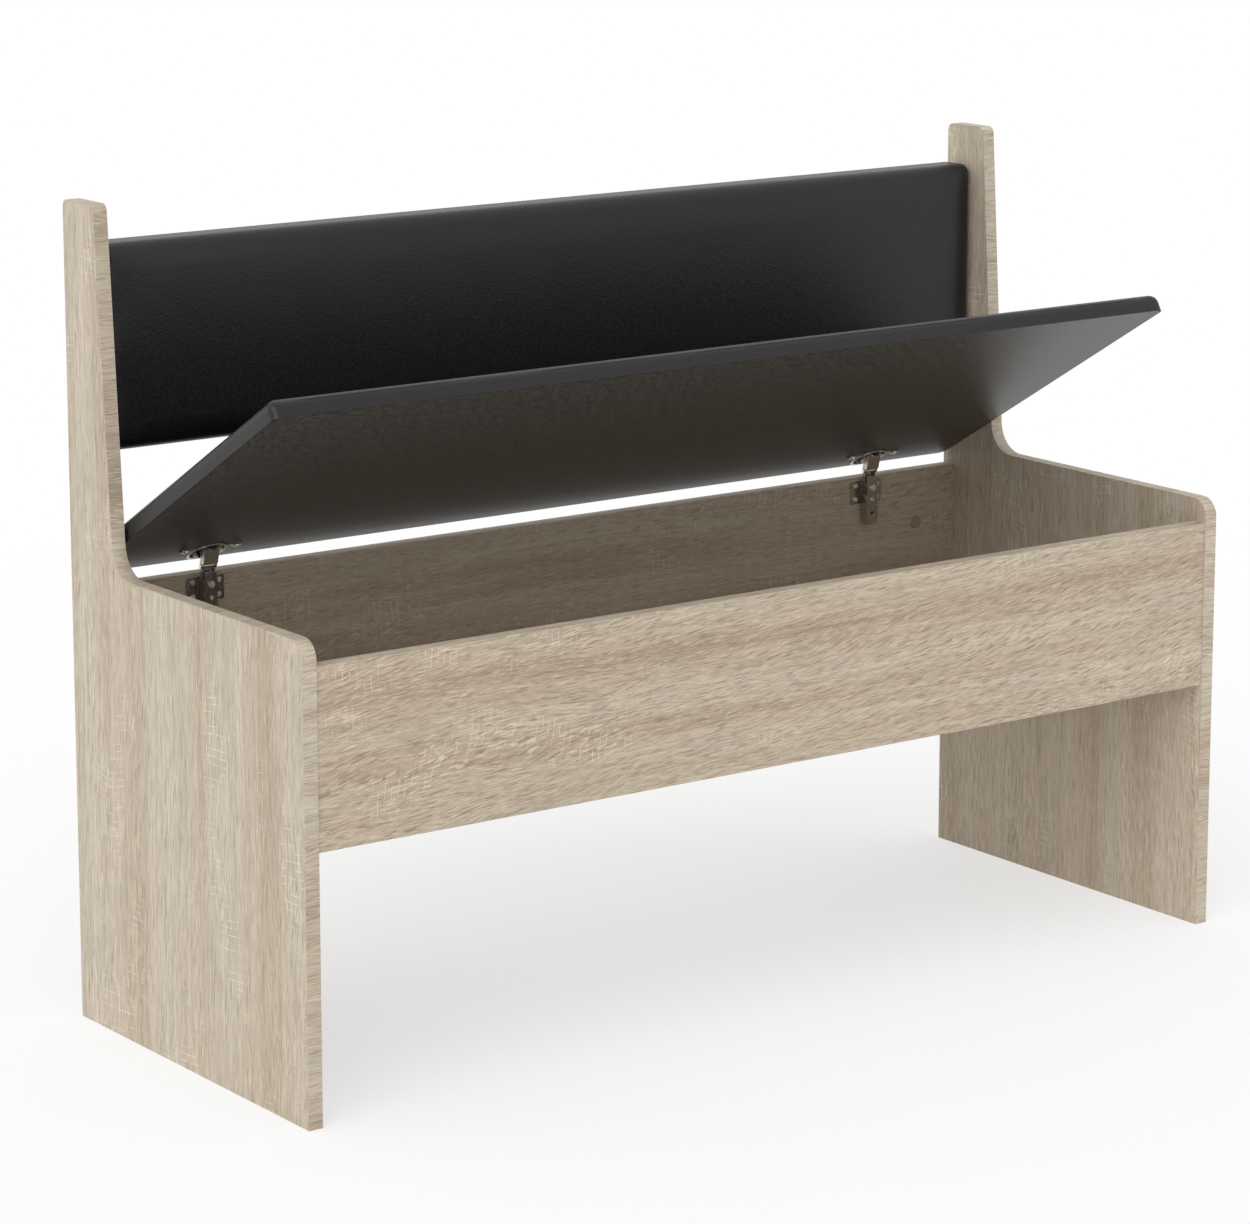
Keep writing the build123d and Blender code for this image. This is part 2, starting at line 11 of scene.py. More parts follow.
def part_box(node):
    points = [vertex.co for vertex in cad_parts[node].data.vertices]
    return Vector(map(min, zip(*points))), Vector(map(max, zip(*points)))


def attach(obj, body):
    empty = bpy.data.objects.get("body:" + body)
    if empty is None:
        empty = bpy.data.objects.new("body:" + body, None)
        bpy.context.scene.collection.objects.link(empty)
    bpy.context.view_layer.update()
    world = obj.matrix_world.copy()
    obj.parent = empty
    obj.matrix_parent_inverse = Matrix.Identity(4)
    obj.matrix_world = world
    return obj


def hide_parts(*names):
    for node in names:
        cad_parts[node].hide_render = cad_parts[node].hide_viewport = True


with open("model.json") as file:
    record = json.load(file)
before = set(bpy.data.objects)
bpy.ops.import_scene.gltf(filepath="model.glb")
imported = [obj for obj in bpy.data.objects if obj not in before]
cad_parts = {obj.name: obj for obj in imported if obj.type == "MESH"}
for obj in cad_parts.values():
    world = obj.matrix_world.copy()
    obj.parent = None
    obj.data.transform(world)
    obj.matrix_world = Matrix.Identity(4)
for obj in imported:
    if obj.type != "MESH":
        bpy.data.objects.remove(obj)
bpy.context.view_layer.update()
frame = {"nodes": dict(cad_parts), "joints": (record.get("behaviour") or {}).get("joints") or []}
NODES = frame["nodes"]

# The photograph's camera, in metres and in pixels of the whole frame
PHOTO_WIDTH, PHOTO_HEIGHT = 1250, 1224
CAMERA_PLACE = (-2.7620, -3.7178, 1.4472)
CAMERA_YAW, CAMERA_PITCH = 0.6301, 0.1924
CAMERA_FOCUS = 4386.2
CAMERA_CENTRE_ROW = 480
SENSOR = 36.0

# Light: the world on the object, the world as seen, and a broad soft key light from the left front
WORLD_LEVEL, WORLD_SEEN = 0.75, 1.0
KEY_FROM, KEY_STRENGTH, KEY_ANGLE = (-0.63, -0.45, 0.63), 1.25, math.radians(55)

# Floor: its size and white, and the share of it seen as plain white, near the bench and far off
FLOOR_SIZE, FLOOR_WHITE = 60.0, 0.97
FLOOR_NEAR, FLOOR_FAR = (0.5, 0.56), (2.6, 1.0)

# Cover pressed up by its foam: cloth pressure, frames of movement, and how far it may rise
SWELL_PRESSURE, SWELL_FRAMES, SWELL_LIMIT = 4.0, 20, 0.0015

# Pads, as in the solids, with corners a little fuller than a circle so that the board stays covered
CORNER_FULLNESS = 3.0
SKIN = 0.001
SEAT_DEPTH = 0.436
SEAT_TILT = math.radians(30.2)
SEAT_LINING, SEAT_BOARD, SEAT_FOAM, SEAT_CROWN, SEAT_ROUND = 0.0008, 0.016, 0.0042, 0.002, 0.0115
CUP_PIN_EDGE, CUP_PIN_RISE = 0.0367, 0.0045
REST_LINING, REST_BOARD, REST_FOAM, REST_CROWN, REST_ROUND = 0.0006, 0.016, 0.019, 0.002, 0.013
CUP_BORE, CUP_CENTRE, HINGE_X = 0.0201, 0.0233, 0.45

# Pad mesh: grid pitch, rows over a rounded edge and up a wall, shape of the crown, faint unevenness on top
PAD_PITCH, EDGE_ROWS, WALL_ROWS = 0.018, 6, 2
CROWN_SHAPE = 0.8
WAVE_HEIGHT, WAVE_REPEATS, WAVE_FADE = 0.0003, (6.0, 9.0, 7.0), 4
SHARP_ANGLE = math.radians(50)

# Cloth outline: points on a corner and round a hole
CLOTH_CORNER_POINTS, CLOTH_HOLE_POINTS = 6, 48

# Rounding of edges on rigid solids, and of the screws' domed heads (width, angle in degrees, rows)
EDGE_ROUNDS = {
    "hinge_plate": 0.0004, "hinge_arm": 0.0003, "hinge_lever": 0.0002, "hinge_cup": 0.0002,
    "side_edge_band": 0.0002,
}
HEAD_ROUND = (0.0011, 50, 4)


class Tree:
    """Node tree of one new material, ending in a Principled shader."""

    def __init__(self, name):
        self.material = bpy.data.materials.new(name)
        self.material.use_nodes = True
        self.nodes = self.material.node_tree.nodes
        self.links = self.material.node_tree.links
        self.nodes.clear()
        self.shader = self.nodes.new("ShaderNodeBsdfPrincipled")
        output = self.nodes.new("ShaderNodeOutputMaterial")
        self.links.new(self.shader.outputs[0], output.inputs[0])

    def plug(self, socket, value):
        if isinstance(value, bpy.types.NodeSocket):
            self.links.new(value, socket)
        else:
            socket.default_value = value

    def set(self, **inputs):
        for name, value in inputs.items():
            self.plug(self.shader.inputs[name.replace("_", " ")], value)

    def math(self, operation, first, second=0.0, clamp=False):
        node = self.nodes.new("ShaderNodeMath")
        node.operation, node.use_clamp = operation, clamp
        self.plug(node.inputs[0], first)
        self.plug(node.inputs[1], second)
        return node.outputs[0]

    def place(self):
        """Object coordinates, split into X, Y and Z."""
        split = self.nodes.new("ShaderNodeSeparateXYZ")
        self.links.new(self.nodes.new("ShaderNodeTexCoord").outputs["Object"], split.inputs[0])
        return split.outputs

    def stretch(self, parts, scales):
        """A point from three coordinates, each with its own repeat per metre."""
        node = self.nodes.new("ShaderNodeCombineXYZ")
        for socket, part, scale in zip(node.inputs, parts, scales):
            self.plug(socket, self.math("MULTIPLY", part, scale))
        return node.outputs[0]

    def noise(self, point, detail=2.0, rough=0.5):
        node = self.nodes.new("ShaderNodeTexNoise")
        self.links.new(point, node.inputs["Vector"])
        node.inputs["Scale"].default_value = 1.0
        node.inputs["Detail"].default_value = detail
        node.inputs["Roughness"].default_value = rough
        return node.outputs[0]

    def cells(self, point):
        node = self.nodes.new("ShaderNodeTexVoronoi")
        node.feature = "SMOOTH_F1"
        self.links.new(point, node.inputs["Vector"])
        node.inputs["Scale"].default_value = 1.0
        return node.outputs[0]

    def span(self, value, low, high, to_low=0.0, to_high=1.0):
        """Straight line from one range to another, held at its ends."""
        node = self.nodes.new("ShaderNodeMapRange")
        for socket, number in zip(node.inputs, (value, low, high, to_low, to_high)):
            self.plug(socket, number)
        return node.outputs[0]

    def ramp(self, value, stops):
        node = self.nodes.new("ShaderNodeValToRGB")
        elements = node.color_ramp.elements
        while len(elements) < len(stops):
            elements.new(0.5)
        for element, (at, colour) in zip(elements, stops):
            element.position, element.color = at, (*colour, 1.0)
        self.links.new(value, node.inputs[0])
        return node.outputs[0]

    def mix(self, share, first, second, blend="MIX"):
        node = self.nodes.new("ShaderNodeMix")
        node.data_type, node.blend_type = "RGBA", blend
        self.plug(node.inputs[0], share)
        for socket, value in zip((node.inputs[6], node.inputs[7]), (first, second)):
            self.plug(socket, value if isinstance(value, bpy.types.NodeSocket) else (*value, 1.0))
        return node.outputs[2]

    def bump(self, height, distance, strength=1.0):
        node = self.nodes.new("ShaderNodeBump")
        node.inputs["Distance"].default_value = distance
        node.inputs["Strength"].default_value = strength
        self.links.new(height, node.inputs["Height"])
        self.links.new(node.outputs[0], self.shader.inputs["Normal"])


# Sonoma oak decor: broad tone bands, wavy fibres, slanting pores and pale saw marks across the grain

OAK_BANDS = [
    (0.30, (0.420, 0.340, 0.250)),
    (0.42, (0.490, 0.406, 0.313)),
    (0.50, (0.525, 0.444, 0.346)),
    (0.58, (0.512, 0.450, 0.357)),
    (0.72, (0.600, 0.524, 0.420)),
]
OAK_PALE = (0.74, 0.66, 0.54)
OAK_PORE = (0.27, 0.205, 0.145)

# Repeats per metre along, across and through the grain
DRIFT, RIPPLE = (1.8, 6.0, 3.0), (11.0, 15.0, 6.0)
BANDS, STREAKS = (0.5, 24.0, 4.0), (7.0, 190.0, 30.0)
FIBRES, DASHES, PORES = (44.0, 820.0, 90.0), (50.0, 680.0, 90.0), (34.0, 780.0, 90.0)
PATCHES, BREAKS = (7.0, 15.0, 8.0), (170.0, 60.0, 20.0)

# How far the grain drifts, ripples and leans, in metres to either side
DRIFT_REACH, RIPPLE_REACH, LEAN_REACH = 0.018, 0.003, 0.03

# Darkening and lightening by streaks and fibres, and the share of pores and of pale dashes
STREAK_SHADE, FIBRE_SHADE = (0.11, 0.10), (0.14, 0.13)
PORE_SHARE, PALE_SHARE = 0.58, (0.34, 0.66)

# Saw marks: steps per metre, and how many steps they wander
SAW_STEPS, SAW_WANDER = 130.0, 9.0


def oak(name, order, shift, tint=(1.0, 1.0, 1.0), ticks=0.8, slant=0.0, wrap=0.0, contrast=1.0, short=1.0):
    """Oak decor with the grain along the first axis named in order, such as ZYX.

    Ticks is the strength of the saw marks and slant leans the pores against the grain. Wrap carries the
    pattern round from the second axis to the third, and short sets how short the fibres are.
    """
    t = Tree(name)
    xyz = dict(zip("XYZ", t.place()))
    along, across, depth = (t.math("ADD", xyz[axis], shift) for axis in order)
    across = t.math("ADD", across, t.math("MULTIPLY", depth, wrap))
    drift = t.noise(t.stretch((along, across, depth), DRIFT), 2.0)
    ripple = t.noise(t.stretch((along, across, depth), RIPPLE), 2.0)
    across = t.math("ADD", across, t.span(drift, 0.0, 1.0, -DRIFT_REACH, DRIFT_REACH))
    across = t.math("ADD", across, t.span(ripple, 0.0, 1.0, -RIPPLE_REACH, RIPPLE_REACH))
    grain = (along, across, depth)
    lean = t.math("ADD", t.math("MULTIPLY", along, slant), t.span(drift, 0.0, 1.0, -LEAN_REACH, LEAN_REACH))
    leaning = (along, t.math("ADD", across, lean), depth)

    def shortened(repeats):
        return (repeats[0] * short, *repeats[1:])

    def shade(value, dark, light):
        """The colour so far, darker or lighter where the pattern is low or high."""
        tone = t.span(value, 0.32, 0.68, 1.0 - dark * contrast, 1.0 + light * contrast)
        return t.mix(1.0, colour, tone, "MULTIPLY")

    bands = t.noise(t.stretch(grain, BANDS), 3.0, 0.6)
    streaks = t.noise(t.stretch(grain, STREAKS), 3.0, 0.6)
    fibres = t.noise(t.stretch(grain, shortened(FIBRES)), 2.0, 0.6)
    dashes = t.noise(t.stretch(leaning, shortened(DASHES)), 1.0)
    pores = t.noise(t.stretch(leaning, shortened(PORES)), 1.0)
    patch = t.noise(t.stretch(grain, PATCHES), 2.0, 0.6)
    colour = t.ramp(bands, OAK_BANDS)
    colour = shade(streaks, *STREAK_SHADE)
    colour = shade(fibres, *FIBRE_SHADE)
    colour = t.mix(t.span(pores, 0.58, 0.63, 0.0, PORE_SHARE * contrast), colour, OAK_PORE)
    pale = t.span(patch, 0.50, 0.64, *(share * contrast for share in PALE_SHARE))
    colour = t.mix(t.math("MULTIPLY", t.span(dashes, 0.58, 0.64), pale), colour, OAK_PALE)
    # Saw marks: thin lines at uneven steps along the grain, in narrow patches
    uneven = t.math("ADD", t.math("MULTIPLY", along, SAW_STEPS), t.span(drift, 0.0, 1.0, 0.0, SAW_WANDER))
    saw = t.math("ABSOLUTE", t.math("SUBTRACT", t.math("FRACT", uneven), 0.5))
    breaks = t.noise(t.stretch(grain, BREAKS), 2.0)
    tick = t.math("MULTIPLY", t.span(saw, 0.09, 0.03), t.span(patch, 0.55, 0.66))
    tick = t.math("MULTIPLY", tick, t.span(breaks, 0.46, 0.54, 0.0, ticks))
    colour = t.mix(tick, colour, OAK_PALE)
    colour = t.mix(1.0, colour, tint, "MULTIPLY")
    t.set(Base_Color=colour, Roughness=t.span(fibres, 0.2, 0.8, 0.62, 0.50))
    t.shader.inputs["Specular IOR Level"].default_value = 0.35
    t.bump(t.math("ADD", fibres, t.math("MULTIPLY", streaks, 1.5)), 0.00018, 0.5)
    return t.material


def leather(name, colour, rough, grain=0.0003):
    """Matt faux leather with a fine pebble and short flecks."""
    t = Tree(name)
    xyz = t.place()
    pebble = t.cells(t.stretch(xyz, (520.0, 430.0, 520.0)))
    fleck = t.noise(t.stretch(xyz, (560.0, 190.0, 560.0)), 2.0)
    cloud = t.noise(t.stretch(xyz, (7.0, 7.0, 7.0)), 2.0)
    dark = tuple(0.80 * c for c in colour)
    light = tuple(1.45 * c for c in colour)
    tone = t.ramp(t.math("ADD", t.math("MULTIPLY", fleck, 0.7), t.math("MULTIPLY", cloud, 0.3)),
                  [(0.35, dark), (0.52, colour), (0.68, light)])
    t.set(Base_Color=tone, Roughness=t.span(fleck, 0.3, 0.7, rough - 0.05, rough + 0.06))
    t.shader.inputs["Specular IOR Level"].default_value = 0.44
    t.bump(t.math("ADD", pebble, t.math("MULTIPLY", fleck, 0.8)), grain, 0.55)
    return t.material


def lining(name, dark, light):
    """Dark smooth backing cloth with a close weave."""
    t = Tree(name)
    xyz = t.place()
    warp = t.noise(t.stretch(xyz, (300.0, 100.0, 60.0)), 2.0)
    weft = t.noise(t.stretch(xyz, (100.0, 300.0, 60.0)), 2.0)
    weave = t.math("MULTIPLY", t.math("ADD", warp, weft), 0.5)
    tone = t.ramp(weave, [(0.40, dark), (0.60, light)])
    t.set(Base_Color=tone, Roughness=t.span(weave, 0.3, 0.7, 0.34, 0.44))
    t.shader.inputs["Specular IOR Level"].default_value = 0.5
    t.bump(weave, 0.00008, 0.4)
    return t.material


def metal(name, colour, rough):
    """Plated steel with faint rolling marks."""
    t = Tree(name)
    xyz = t.place()
    marks = t.noise(t.stretch(xyz, (400.0, 60.0, 60.0)), 3.0)
    smudge = t.noise(t.stretch(xyz, (45.0, 45.0, 45.0)), 2.0)
    tone = t.ramp(smudge, [(0.3, tuple(0.88 * c for c in colour)), (0.7, colour)])
    t.set(Base_Color=tone, Roughness=t.span(marks, 0.3, 0.7, rough - 0.05, rough + 0.07))
    t.shader.inputs["Metallic"].default_value = 1.0
    t.bump(marks, 0.00002, 0.3)
    return t.material


def plain(name, dark, light, rough, scale):
    """Mottled surface for caps, hidden boards, dowels and foam."""
    t = Tree(name)
    xyz = t.place()
    speckle = t.noise(t.stretch(xyz, (scale, scale, scale)), 3.0, 0.6)
    tone = t.ramp(speckle, [(0.32, dark), (0.68, light)])
    t.set(Base_Color=tone, Roughness=t.span(speckle, 0.2, 0.8, rough, rough + 0.1))
    t.bump(speckle, 0.0001, 0.4)
    return t.material


OAK_SIDE = oak("oak_side", "ZYX", 0.37, contrast=0.9)
OAK_PANEL = oak("oak_panel", "XZY", 1.93, (0.95, 0.92, 0.89), slant=-0.16, contrast=1.15, short=1.4)
# Back panel and storage floor: the front panel's decor tinted darker, as painted shade for the inside of
# the box
OAK_BACK_SHADED = oak("oak_back_painted_shade", "XZY", 3.17, (0.78, 0.77, 0.74), slant=-0.12, contrast=0.9, short=1.4)
OAK_FLOOR_SHADED = oak("oak_floor_painted_shade", "XYZ", 5.27, (0.78, 0.77, 0.74), contrast=0.9, short=1.4)
OAK_EDGE = oak("oak_edge", "XZY", 4.11, ticks=0.0, wrap=1.0, contrast=0.95)
OAK_PANEL_EDGE = oak("oak_panel_edge", "XYZ", 2.63, (0.96, 0.94, 0.91), ticks=0.0)
LEATHER = leather("black_faux_leather", (0.004, 0.004, 0.004), 0.39)
LINING = lining("underside_lining", (0.020, 0.019, 0.017), (0.076, 0.072, 0.066))
REAR_LINING = lining("backrest_rear_lining", (0.016, 0.016, 0.015), (0.030, 0.029, 0.028))
NICKEL = metal("nickel_plate", (0.52, 0.48, 0.44), 0.22)
# Hinge cups: the same nickel plating made darker, as painted shade for the dark box interior they reflect
CUP_NICKEL_SHADED = metal("cup_nickel_painted_shade", (0.28, 0.26, 0.24), 0.16)
SCREW_STEEL = metal("screw_steel", (0.96, 0.94, 0.91), 0.32)
ZINC = metal("zinc_fitting", (0.45, 0.45, 0.44), 0.42)
CAP = plain("cap_plastic", (0.24, 0.20, 0.16), (0.31, 0.26, 0.21), 0.5, 300.0)
CORE = plain("core_board", (0.40, 0.29, 0.18), (0.55, 0.42, 0.28), 0.75, 420.0)
BEECH = plain("beech_dowel", (0.50, 0.35, 0.20), (0.62, 0.46, 0.29), 0.6, 200.0)
FOAM = plain("foam", (0.55, 0.50, 0.40), (0.68, 0.63, 0.52), 0.9, 700.0)

NODE_MATERIALS = {
    "side_panel": OAK_SIDE, "side_edge_band": OAK_EDGE,
    "front_panel": OAK_PANEL, "back_panel": OAK_BACK_SHADED, "storage_floor": OAK_FLOOR_SHADED,
    "panel_edge_bands": OAK_PANEL_EDGE, "dowels": BEECH,
    "cam_locks": ZINC, "cam_bolts": ZINC, "cam_caps": CAP,
    "backrest_board": CORE, "seat_board": CORE, "foam": FOAM, "cover": LEATHER, "lining": LINING,
    "hinge_plate": NICKEL, "hinge_arm": NICKEL, "hinge_lever": NICKEL, "hinge_cup": CUP_NICKEL_SHADED,
    "pins": SCREW_STEEL, "screws": SCREW_STEEL,
}


def dress(name, material):
    for slot in NODES[name].material_slots:
        slot.material = material


for node_name in NODES:
    matches = [key for key in NODE_MATERIALS if node_name.endswith(key)]
    dress(node_name, NODE_MATERIALS[max(matches, key=len)])


def soften(name, width, angle=35, rows=2):
    """Small rounding on the edges of a rigid solid."""
    node = NODES[name]
    weld = node.modifiers.new("weld", "WELD")
    weld.merge_threshold = 1e-6
    bevel = node.modifiers.new("bevel", "BEVEL")
    bevel.width, bevel.segments = width, rows
    bevel.limit_method, bevel.angle_limit = "ANGLE", math.radians(angle)
    bevel.harden_normals = True


# Upholstered pads


def steps(low, high, count):
    return [low + (high - low) * i / count for i in range(count + 1)]


def lines(half, radius):
    """Grid lines from -half to half, close together over the rounded edges."""
    inner = half - radius
    middle = steps(-inner, inner, max(2, round(2 * inner / PAD_PITCH)))
    fine = steps(inner, half, EDGE_ROWS)[1:]
    return [-v for v in reversed(fine)] + middle + fine


def round_over(point, half, top, radius):
    """Moves a point of a plain box onto the box with rounded upright and top edges."""
    x, y, z = point
    gaps = [half[0] - abs(x), half[1] - abs(y)]
    corner = gaps[0] < radius and gaps[1] < radius
    reach = [radius - g for g in gaps]
    inset = radius - max(reach) if corner else min(gaps)
    inset = max(inset, 0.0)
    drop = top - z
    path = radius + inset if drop <= 0 else radius - drop
    if 0 <= path <= 2 * radius:
        turn = path / (2 * radius) * math.pi / 2
        inset, z = radius * (1 - math.cos(turn)), top - radius + radius * math.sin(turn)
    if corner:
        length = sum(r ** CORNER_FULLNESS for r in reach) ** (1 / CORNER_FULLNESS) or 1.0
        new = [half[i] - radius + reach[i] / length * (radius - inset) for i in (0, 1)]
    else:
        side = 0 if gaps[0] < gaps[1] else 1
        new = [half[0] - gaps[0], half[1] - gaps[1]]
        new[side] = half[side] - inset
    return math.copysign(new[0], x), math.copysign(new[1], y), z


def pad(name, half, top, crown, radius, cavity):
    """Closed pad lying on 0: crowned top, rounded edges, walls, and a cavity below for its board."""
    xs, ys = lines(half[0], radius), lines(half[1], radius)
    zs = steps(0.0, top - radius, WALL_ROWS) + steps(top - radius, top, EDGE_ROWS)[1:]
    mesh = bmesh.new()
    made = {}

    def vertex(i, j, k):
        if (i, j, k) not in made:
            x, y, z = round_over((xs[i], ys[j], zs[k]), half, top, radius)
            fullness = (1 - (x / half[0]) ** 2) ** CROWN_SHAPE * (1 - (y / half[1]) ** 2) ** CROWN_SHAPE
            share = max(0.0, (z - top + radius) / radius)
            place = [c * repeat for c, repeat in zip((x, y, half[1]), WAVE_REPEATS)]
            wave = min(1.0, WAVE_FADE * fullness) * noise.noise(place) * WAVE_HEIGHT
            made[i, j, k] = mesh.verts.new((x, y, z + share * (fullness * crown + wave)))
        return made[i, j, k]

    last = (len(xs) - 1, len(ys) - 1, len(zs) - 1)

    def around(a, b):
        """Corners of one grid cell, in turn."""
        return (a, b), (a + 1, b), (a + 1, b + 1), (a, b + 1)

    def back_around(a, b):
        first, *others = around(a, b)
        return (first, *reversed(others))

    for i in range(last[0]):
        for j in range(last[1]):
            mesh.faces.new([vertex(a, b, last[2]) for a, b in around(i, j)])
        for k in range(last[2]):
            mesh.faces.new([vertex(a, 0, b) for a, b in around(i, k)])
            mesh.faces.new([vertex(a, last[1], b) for a, b in back_around(i, k)])
    for j in range(last[1]):
        for k in range(last[2]):
            mesh.faces.new([vertex(0, a, b) for a, b in back_around(j, k)])
            mesh.faces.new([vertex(last[0], a, b) for a, b in around(j, k)])
    # The cover turns in under the edge and the board sits in the space above it
    rim = [(i, 0) for i in range(last[0])] + [(last[0], j) for j in range(last[1])]
    rim += [(i, last[1]) for i in range(last[0], 0, -1)] + [(0, j) for j in range(last[1], 0, -1)]
    outer = [made[i, j, 0] for i, j in rim]

    def inner_ring(height):
        ring = []
        for v in outer:
            x, y = (c * (1 - SKIN / h) for c, h in zip(v.co.xy, half))
            ring.append(mesh.verts.new((x, y, height)))
        return ring

    low, high = inner_ring(0.0), inner_ring(cavity)
    for a, b in ((outer, low), (low, high)):
        for n in range(len(rim)):
            m = (n + 1) % len(rim)
            mesh.faces.new((a[m], a[n], b[n], b[m]))
    mesh.faces.new(list(reversed(high)))
    mesh.normal_update()
    data = bpy.data.meshes.new(name)
    mesh.to_mesh(data)
    mesh.free()
    for polygon in data.polygons:
        polygon.use_smooth = True
    data.set_sharp_from_angle(angle=SHARP_ANGLE)
    piece = bpy.data.objects.new(name, data)
    bpy.context.scene.collection.objects.link(piece)
    data.materials.append(LEATHER)
    return piece


def swell(piece, shoulder):
    """Lets the cover rise over its foam: cloth under light pressure, held below the shoulder."""
    scene, cover = bpy.context.scene, piece.data
    held = piece.vertex_groups.new(name="held")
    held.add([v.index for v in cover.vertices if v.co.z < shoulder], 1.0, "REPLACE")
    cloth = piece.modifiers.new("cloth", "CLOTH")
    cloth.settings.vertex_group_mass = held.name
    cloth.settings.use_pressure = True
    cloth.settings.uniform_pressure_force = SWELL_PRESSURE
    cloth.settings.effector_weights.gravity = 0.0
    cloth.collision_settings.use_collision = False
    cloth.point_cache.frame_start, cloth.point_cache.frame_end = 1, SWELL_FRAMES
    for step in range(1, SWELL_FRAMES + 1):
        scene.frame_set(step)
    moved = piece.evaluated_get(bpy.context.evaluated_depsgraph_get()).data
    places = [v.co.copy() for v in moved.vertices]
    for v, place, outward in zip(cover.vertices, places, [v.normal.copy() for v in cover.vertices]):
        rise = (place - v.co).dot(outward)
        v.co += outward * min(max(rise, 0.0), SWELL_LIMIT)
    piece.modifiers.remove(cloth)
    piece.vertex_groups.remove(held)
    scene.frame_set(1)


def sheet(name, half, corner, thick, holes, material):
    """Thin cloth lying from 0 up, with round holes where fittings pass through it."""
    mesh = bmesh.new()
    loops = []
    arc = steps(0.0, math.pi / 2, CLOTH_CORNER_POINTS)
    circle = steps(0.0, 2 * math.pi, CLOTH_HOLE_POINTS)[:-1]

    def on_circle(x, y, radius, angle):
        return x + radius * math.cos(angle), y + radius * math.sin(angle)

    outline = []
    for turn, (sx, sy) in enumerate(((1, 1), (-1, 1), (-1, -1), (1, -1))):
        centre = sx * (half[0] - corner), sy * (half[1] - corner)
        outline += [on_circle(*centre, corner, angle + turn * math.pi / 2) for angle in arc]
    loops.append(outline)
    for hole in holes:
        loops.append([on_circle(*hole, angle) for angle in circle])
    edges = []
    for loop in loops:
        verts = [mesh.verts.new((x, y, 0.0)) for x, y in loop]
        edges += [mesh.edges.new((verts[n], verts[(n + 1) % len(verts)])) for n in range(len(verts))]
    bmesh.ops.triangle_fill(mesh, use_beauty=True, use_dissolve=False, edges=edges, normal=(0, 0, 1))
    grown = bmesh.ops.extrude_face_region(mesh, geom=mesh.faces[:])
    for item in grown["geom"]:
        if isinstance(item, bmesh.types.BMVert):
            item.co.z = thick
    bmesh.ops.recalc_face_normals(mesh, faces=mesh.faces[:])
    data = bpy.data.meshes.new(name)
    mesh.to_mesh(data)
    mesh.free()
    piece = bpy.data.objects.new(name, data)
    bpy.context.scene.collection.objects.link(piece)
    data.materials.append(material)
    return piece


def settle(piece, place, body, *nodes):
    """Puts a piece in its place, on its body, in place of its solids."""
    piece.matrix_world = place
    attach(piece, body)
    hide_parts(*nodes)


seat_low, seat_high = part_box("seat_cover")
rest_low, rest_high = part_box("backrest_cover")
seat_half = ((seat_high[0] - seat_low[0]) / 2, SEAT_DEPTH / 2)
rest_half = ((rest_high[0] - rest_low[0]) / 2, (rest_high[2] - rest_low[2]) / 2)
cup_pin = next(j["pos_m"] for j in frame["joints"] if j["name"] == "seat_tilt")
SEAT_PLACE = (Matrix.Translation(cup_pin) @ Matrix.Rotation(-SEAT_TILT, 4, "X")
              @ Matrix.Translation((0, CUP_PIN_EDGE - SEAT_DEPTH / 2, -CUP_PIN_RISE)))
REST_PLACE = (Matrix.Translation((0, rest_high[1], (rest_low[2] + rest_high[2]) / 2))
              @ Matrix.Rotation(math.pi / 2, 4, "X"))

seat_thick = SEAT_LINING + SEAT_BOARD + SEAT_FOAM + SKIN
rest_thick = REST_LINING + REST_BOARD + REST_FOAM + SKIN
seat_pad = pad("seat_pad", seat_half, seat_thick, SEAT_CROWN, SEAT_ROUND, SEAT_LINING + SEAT_BOARD)
rest_pad = pad("backrest_pad", rest_half, rest_thick, REST_CROWN, REST_ROUND, REST_LINING + REST_BOARD)
settle(seat_pad, SEAT_PLACE, "seat_lid", "seat_cover", "seat_foam")
settle(rest_pad, REST_PLACE, "frame", "backrest_cover", "backrest_foam")
for piece, shoulder in ((seat_pad, seat_thick - SEAT_ROUND), (rest_pad, rest_thick - REST_ROUND)):
    swell(piece, shoulder)

cup_holes = [(side * HINGE_X, SEAT_DEPTH / 2 - CUP_CENTRE, CUP_BORE) for side in (-1, 1)]
seat_cloth = sheet("seat_underside_cloth", [h - SKIN for h in seat_half], SEAT_ROUND - SKIN, SEAT_LINING,
                   cup_holes, LINING)
rest_cloth = sheet("backrest_rear_cloth", [h - SKIN for h in rest_half], REST_ROUND - SKIN, REST_LINING,
                   [], REAR_LINING)
settle(seat_cloth, SEAT_PLACE, "seat_lid", "seat_lining")
settle(rest_cloth, REST_PLACE, "frame", "backrest_lining")

for part, width in EDGE_ROUNDS.items():
    for side in ("left", "right"):
        soften(f"{side}_{part}", width)
for part in ("plate", "cup", "fixing", "adjusting"):
    soften(f"hinge_{part}_screws", *HEAD_ROUND)

# Studio


def seen_directly(nodes, links):
    """One where a ray comes from the camera, a mirror image or through glass, else zero."""
    path = nodes.new("ShaderNodeLightPath")
    seen = path.outputs["Is Camera Ray"]
    for ray in ("Is Glossy Ray", "Is Transmission Ray"):
        both = nodes.new("ShaderNodeMath")
        both.operation = "MAXIMUM"
        links.new(seen, both.inputs[0])
        links.new(path.outputs[ray], both.inputs[1])
        seen = both.outputs[0]
    return seen


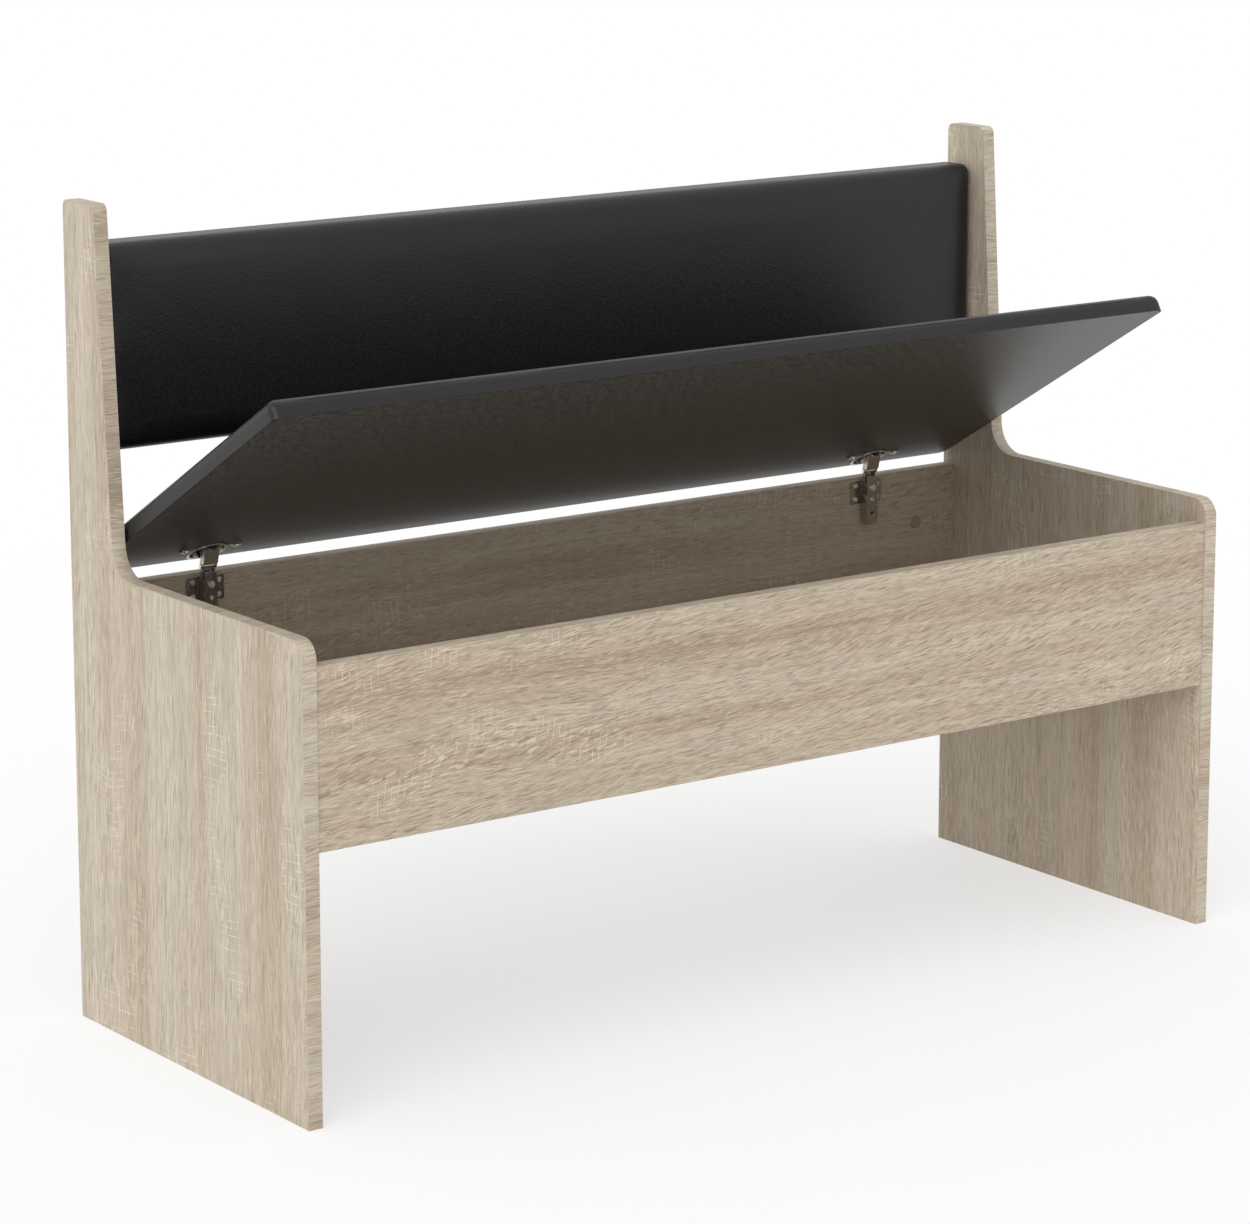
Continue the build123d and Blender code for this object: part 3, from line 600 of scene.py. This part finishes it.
def white_floor():
    """White floor that keeps the shadow and fades to plain white away from the bench."""
    t = Tree("floor_white")
    t.set(Base_Color=(FLOOR_WHITE, FLOOR_WHITE, FLOOR_WHITE, 1.0), Roughness=0.9)
    t.shader.inputs["Specular IOR Level"].default_value = 0.0
    x, y, _ = t.place()
    away = t.math("SQRT", t.math("ADD", t.math("MULTIPLY", x, x), t.math("MULTIPLY", y, y)))
    share = t.span(away, FLOOR_NEAR[0], FLOOR_FAR[0], FLOOR_NEAR[1], FLOOR_FAR[1])
    share = t.math("MULTIPLY", share, seen_directly(t.nodes, t.links))
    glow, blend = t.nodes.new("ShaderNodeEmission"), t.nodes.new("ShaderNodeMixShader")
    t.links.new(share, blend.inputs[0])
    t.links.new(t.shader.outputs[0], blend.inputs[1])
    t.links.new(glow.outputs[0], blend.inputs[2])
    output = next(node for node in t.nodes if node.type == "OUTPUT_MATERIAL")
    t.links.new(blend.outputs[0], output.inputs[0])
    return t.material


def studio():
    scene = bpy.context.scene
    scene.view_settings.view_transform = "Standard"
    floor_mesh = bpy.data.meshes.new("floor")
    half = FLOOR_SIZE / 2
    corners = [(-half, -half, 0), (half, -half, 0), (half, half, 0), (-half, half, 0)]
    floor_mesh.from_pydata(corners, [], [(0, 1, 2, 3)])
    floor = bpy.data.objects.new("floor", floor_mesh)
    scene.collection.objects.link(floor)
    floor_mesh.materials.append(white_floor())

    world = bpy.data.worlds.new("studio")
    scene.world = world
    world.use_nodes = True
    nodes, links = world.node_tree.nodes, world.node_tree.links
    nodes.clear()
    output, background = nodes.new("ShaderNodeOutputWorld"), nodes.new("ShaderNodeBackground")
    level = nodes.new("ShaderNodeMapRange")
    level.inputs["To Min"].default_value = WORLD_LEVEL
    level.inputs["To Max"].default_value = WORLD_SEEN
    links.new(seen_directly(nodes, links), level.inputs[0])
    links.new(level.outputs[0], background.inputs["Strength"])
    background.inputs["Color"].default_value = (1.0, 1.0, 1.0, 1.0)
    links.new(background.outputs[0], output.inputs[0])

    lamp = bpy.data.lights.new("key", "SUN")
    lamp.energy, lamp.angle = KEY_STRENGTH, KEY_ANGLE
    key = bpy.data.objects.new("key", lamp)
    scene.collection.objects.link(key)
    key.location = Vector(KEY_FROM) * 5
    key.rotation_euler = (-Vector(KEY_FROM)).to_track_quat("-Z", "Y").to_euler()


def camera():
    scene = bpy.context.scene
    data = bpy.data.cameras.new("photo_camera")
    data.sensor_width = SENSOR
    data.lens = CAMERA_FOCUS / PHOTO_WIDTH * SENSOR
    data.shift_y = (CAMERA_CENTRE_ROW - PHOTO_HEIGHT / 2) / PHOTO_WIDTH
    data.clip_end = FLOOR_SIZE
    eye = bpy.data.objects.new("photo_camera", data)
    scene.collection.objects.link(eye)
    ahead = Vector((math.sin(CAMERA_YAW) * math.cos(CAMERA_PITCH),
                    math.cos(CAMERA_YAW) * math.cos(CAMERA_PITCH), -math.sin(CAMERA_PITCH)))
    eye.location = CAMERA_PLACE
    eye.rotation_euler = ahead.to_track_quat("-Z", "Y").to_euler()
    scene.camera = eye


studio()
camera()
